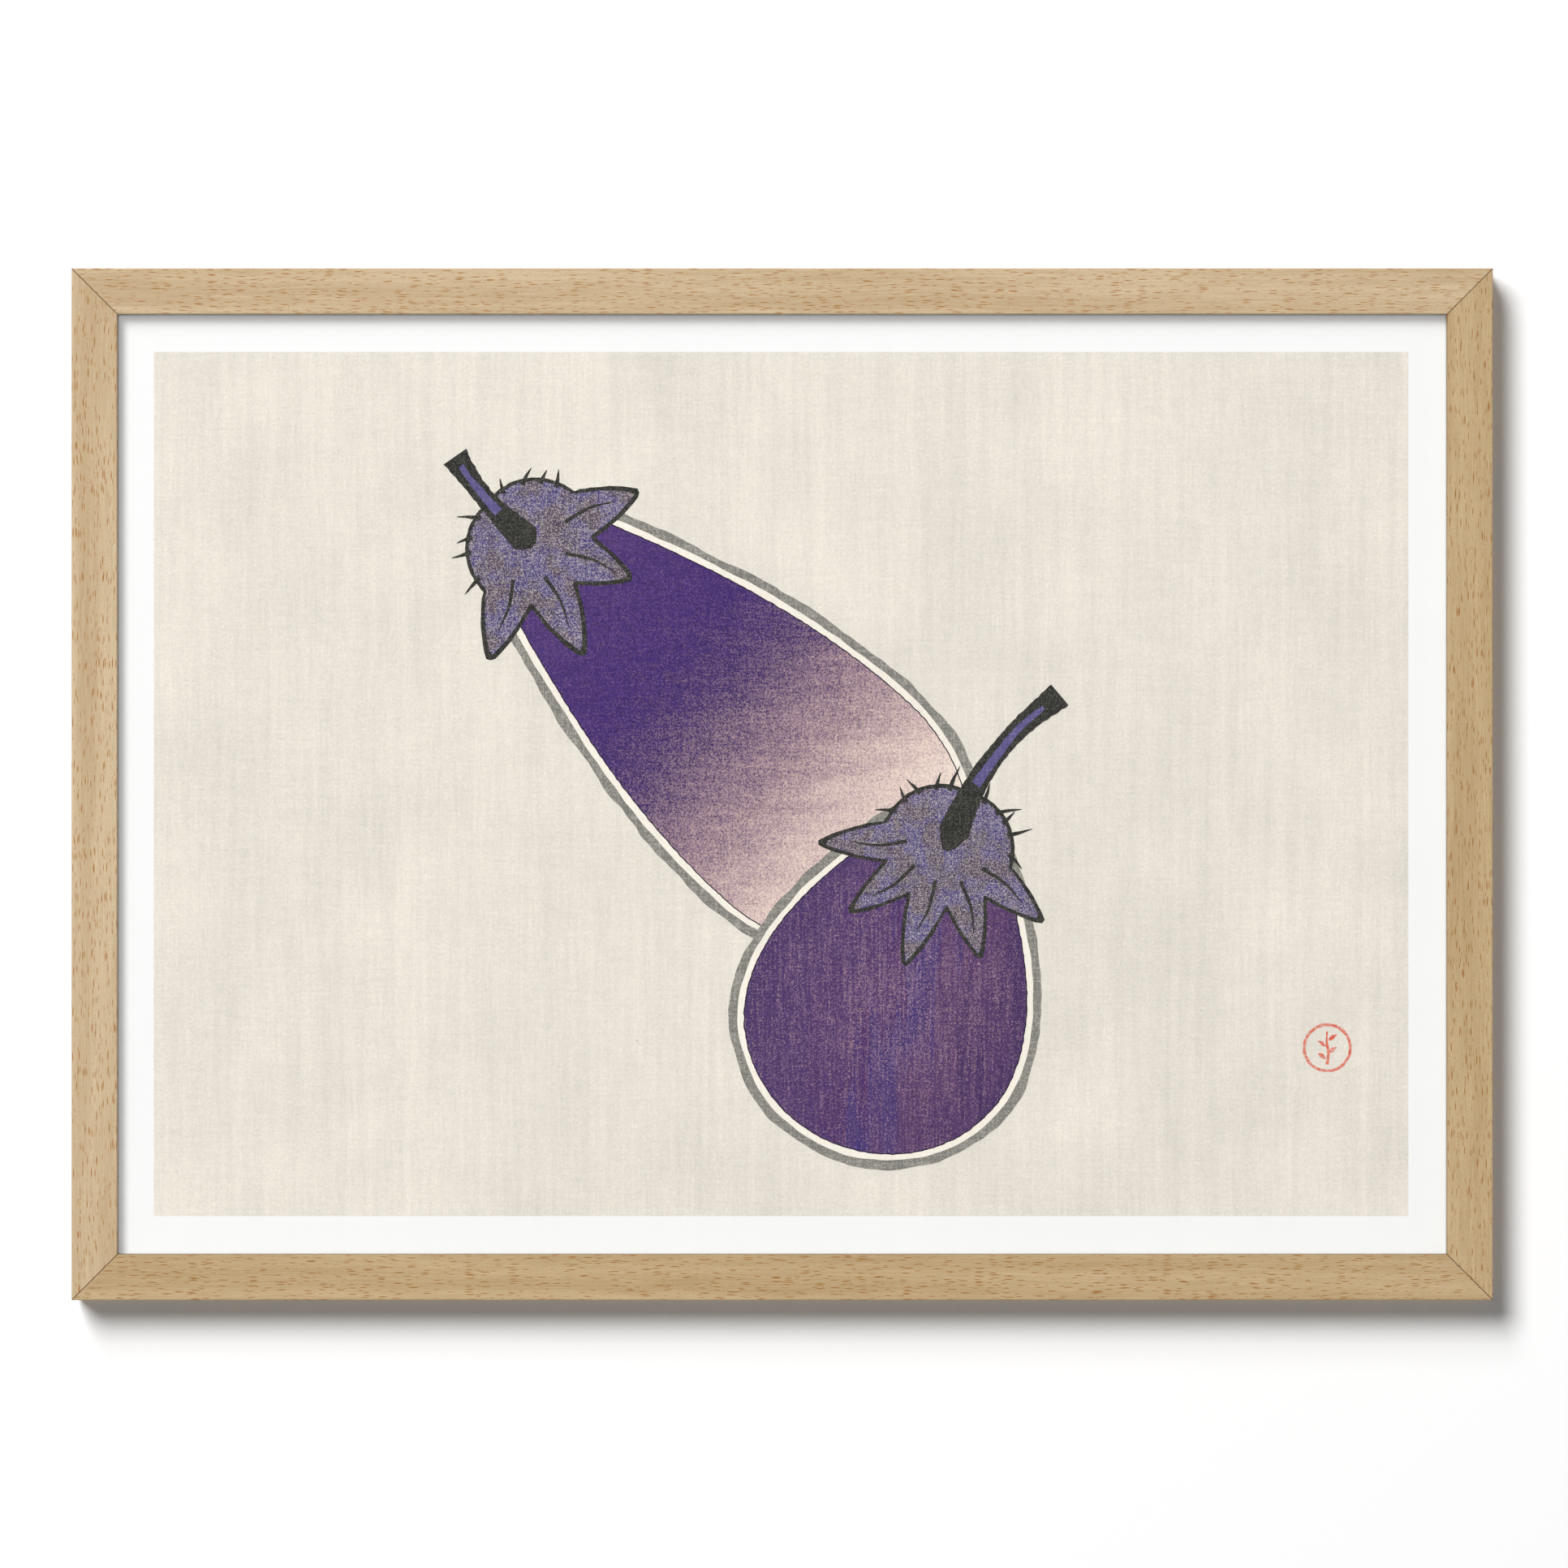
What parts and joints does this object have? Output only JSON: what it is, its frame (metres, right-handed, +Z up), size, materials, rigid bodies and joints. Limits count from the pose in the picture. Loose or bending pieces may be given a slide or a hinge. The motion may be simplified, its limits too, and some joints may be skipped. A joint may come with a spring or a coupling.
{
  "type": "framed art print",
  "caption": "Landscape art print behind glass in a plain mitred beech frame, with tabs, backing board and D-ring hangers for hanging it on a wall.",
  "frame": {"origin": "on the wall, midway between the two wall hooks, at the height where they carry the D-rings", "axes": "+Z up, +X along the picture's width to the viewer's right, +Y out of the picture's back into the wall; the picture faces -Y"},
  "size_m": [0.635, 0.027, 0.461],
  "materials": {
    "beech": "satin",
    "glass": "polished",
    "print_paper": "matte",
    "fibreboard": "matte",
    "zinc_steel": "satin",
    "nickel_steel": "polished",
    "bumper_rubber": "satin"
  },
  "bodies": {
    "frame": {"backing_board": "fibreboard", "bottom_rail": "beech", "bottom_rail_tab_1": "zinc_steel", "bottom_rail_tab_2": "zinc_steel", "bottom_rail_tab_3": "zinc_steel", "bottom_rail_tab_4": "zinc_steel", "bottom_rail_v_nail_1": "zinc_steel", "bottom_rail_v_nail_2": "zinc_steel", "glass_pane": "glass", "left_bumper": "bumper_rubber", "left_hanger_screw": "zinc_steel", "left_hanger_strap": "nickel_steel", "left_stile": "beech", "left_stile_tab_1": "zinc_steel", "left_stile_tab_2": "zinc_steel", "left_stile_tab_3": "zinc_steel", "left_stile_v_nail_1": "zinc_steel", "left_stile_v_nail_2": "zinc_steel", "print_sheet": "print_paper", "right_bumper": "bumper_rubber", "right_hanger_screw": "zinc_steel", "right_hanger_strap": "nickel_steel", "right_stile": "beech", "right_stile_tab_1": "zinc_steel", "right_stile_tab_2": "zinc_steel", "right_stile_tab_3": "zinc_steel", "right_stile_v_nail_1": "zinc_steel", "right_stile_v_nail_2": "zinc_steel", "top_rail": "beech", "top_rail_tab_1": "zinc_steel", "top_rail_tab_2": "zinc_steel", "top_rail_tab_3": "zinc_steel", "top_rail_tab_4": "zinc_steel", "top_rail_v_nail_1": "zinc_steel", "top_rail_v_nail_2": "zinc_steel"},
    "left_ring": {"left_d_ring": "nickel_steel"},
    "right_ring": {"right_d_ring": "nickel_steel"}
  },
  "joints": [
    {"name": "left_ring_hinge", "type": "hinge", "parent": "frame", "child": "left_ring", "pos_m": [-0.30925, -0.0027, -0.0094], "axis": [-1, 0, 0], "range_deg": [-5, 174]},
    {"name": "right_ring_hinge", "type": "hinge", "parent": "frame", "child": "right_ring", "pos_m": [0.30925, -0.0027, -0.0094], "axis": [-1, 0, 0], "range_deg": [-5, 174]}
  ]
}
